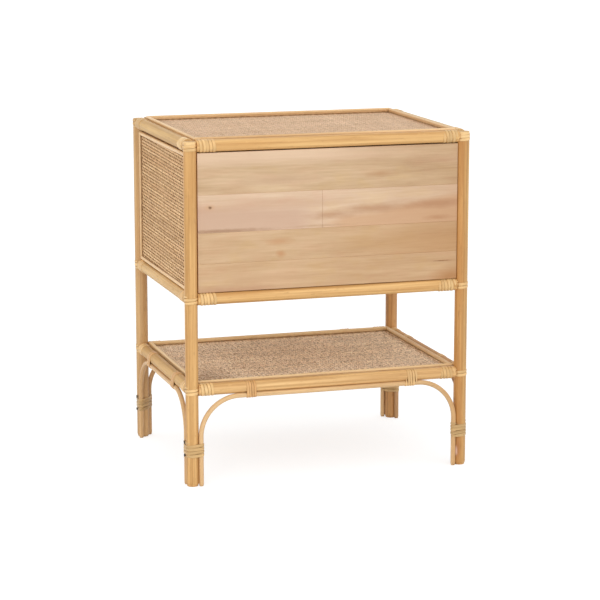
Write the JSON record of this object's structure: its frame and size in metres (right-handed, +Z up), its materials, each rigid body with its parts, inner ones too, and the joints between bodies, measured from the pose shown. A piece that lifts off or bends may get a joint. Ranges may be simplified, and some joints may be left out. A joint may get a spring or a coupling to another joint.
{
  "type": "nightstand",
  "caption": "Rattan-framed nightstand: stacked drawers with woven fronts over an open woven shelf, arched slim poles between the legs, plank back.",
  "frame": {"origin": "centre of the footprint box on the floor, knobs included", "axes": "+Z up, drawers open towards -Y, plank back faces +Y, +X to the right of a person facing the drawers"},
  "size_m": [0.603, 0.4648, 0.7],
  "materials": {
    "rattan_pole": "satin",
    "slim_pole": "satin",
    "rattan_peel": "satin",
    "rattan_bead": "satin",
    "woven_mat": "matte",
    "plank_wood": "matte",
    "carcass_board": "matte",
    "turned_wood": "satin",
    "screw_steel": "zinc plated",
    "dark_nail": "blackened"
  },
  "bodies": {
    "carcass": {"arch_bindings": "rattan_peel", "arch_front": "slim_pole", "arch_left": "slim_pole", "arch_rear": "slim_pole", "arch_right": "slim_pole", "back_plank_1": "plank_wood", "back_plank_2": "plank_wood", "back_plank_3": "plank_wood", "back_plank_4": "plank_wood", "cabinet_floor": "carcass_board", "corner_battens": "carcass_board", "corner_bindings": "rattan_peel", "drawer_runners": "carcass_board", "foot_bindings": "rattan_peel", "foot_nails": "dark_nail", "middle_rail_front": "rattan_pole", "middle_rail_left": "rattan_pole", "middle_rail_rear": "rattan_pole", "middle_rail_right": "rattan_pole", "post_front_left": "rattan_pole", "post_front_right": "rattan_pole", "post_rear_left": "rattan_pole", "post_rear_right": "rattan_pole", "rail_screws": "screw_steel", "shelf_beading": "rattan_bead", "shelf_board": "carcass_board", "shelf_mat": "woven_mat", "shelf_rail_front": "rattan_pole", "shelf_rail_left": "rattan_pole", "shelf_rail_rear": "rattan_pole", "shelf_rail_right": "rattan_pole", "side_beading_left": "rattan_bead", "side_beading_right": "rattan_bead", "side_board_left": "carcass_board", "side_board_right": "carcass_board", "side_mat_left": "woven_mat", "side_mat_right": "woven_mat", "top_beading": "rattan_bead", "top_board": "carcass_board", "top_mat": "woven_mat", "top_rail_front": "rattan_pole", "top_rail_left": "rattan_pole", "top_rail_rear": "rattan_pole", "top_rail_right": "rattan_pole"},
    "upper_drawer": {"upper_box_back": "carcass_board", "upper_box_bottom": "carcass_board", "upper_box_sides": "carcass_board", "upper_front_beading": "rattan_bead", "upper_front_board": "carcass_board", "upper_front_mat": "woven_mat", "upper_knob": "turned_wood", "upper_knob_screw": "screw_steel"},
    "lower_drawer": {"lower_box_back": "carcass_board", "lower_box_bottom": "carcass_board", "lower_box_sides": "carcass_board", "lower_front_beading": "rattan_bead", "lower_front_board": "carcass_board", "lower_front_mat": "woven_mat", "lower_knob": "turned_wood", "lower_knob_screw": "screw_steel"}
  },
  "joints": [
    {"name": "upper_drawer_slide", "type": "slide", "parent": "carcass", "child": "upper_drawer", "axis": [0, -1, 0], "range_m": [0, 0.27]},
    {"name": "lower_drawer_slide", "type": "slide", "parent": "carcass", "child": "lower_drawer", "axis": [0, -1, 0], "range_m": [0, 0.27]}
  ]
}
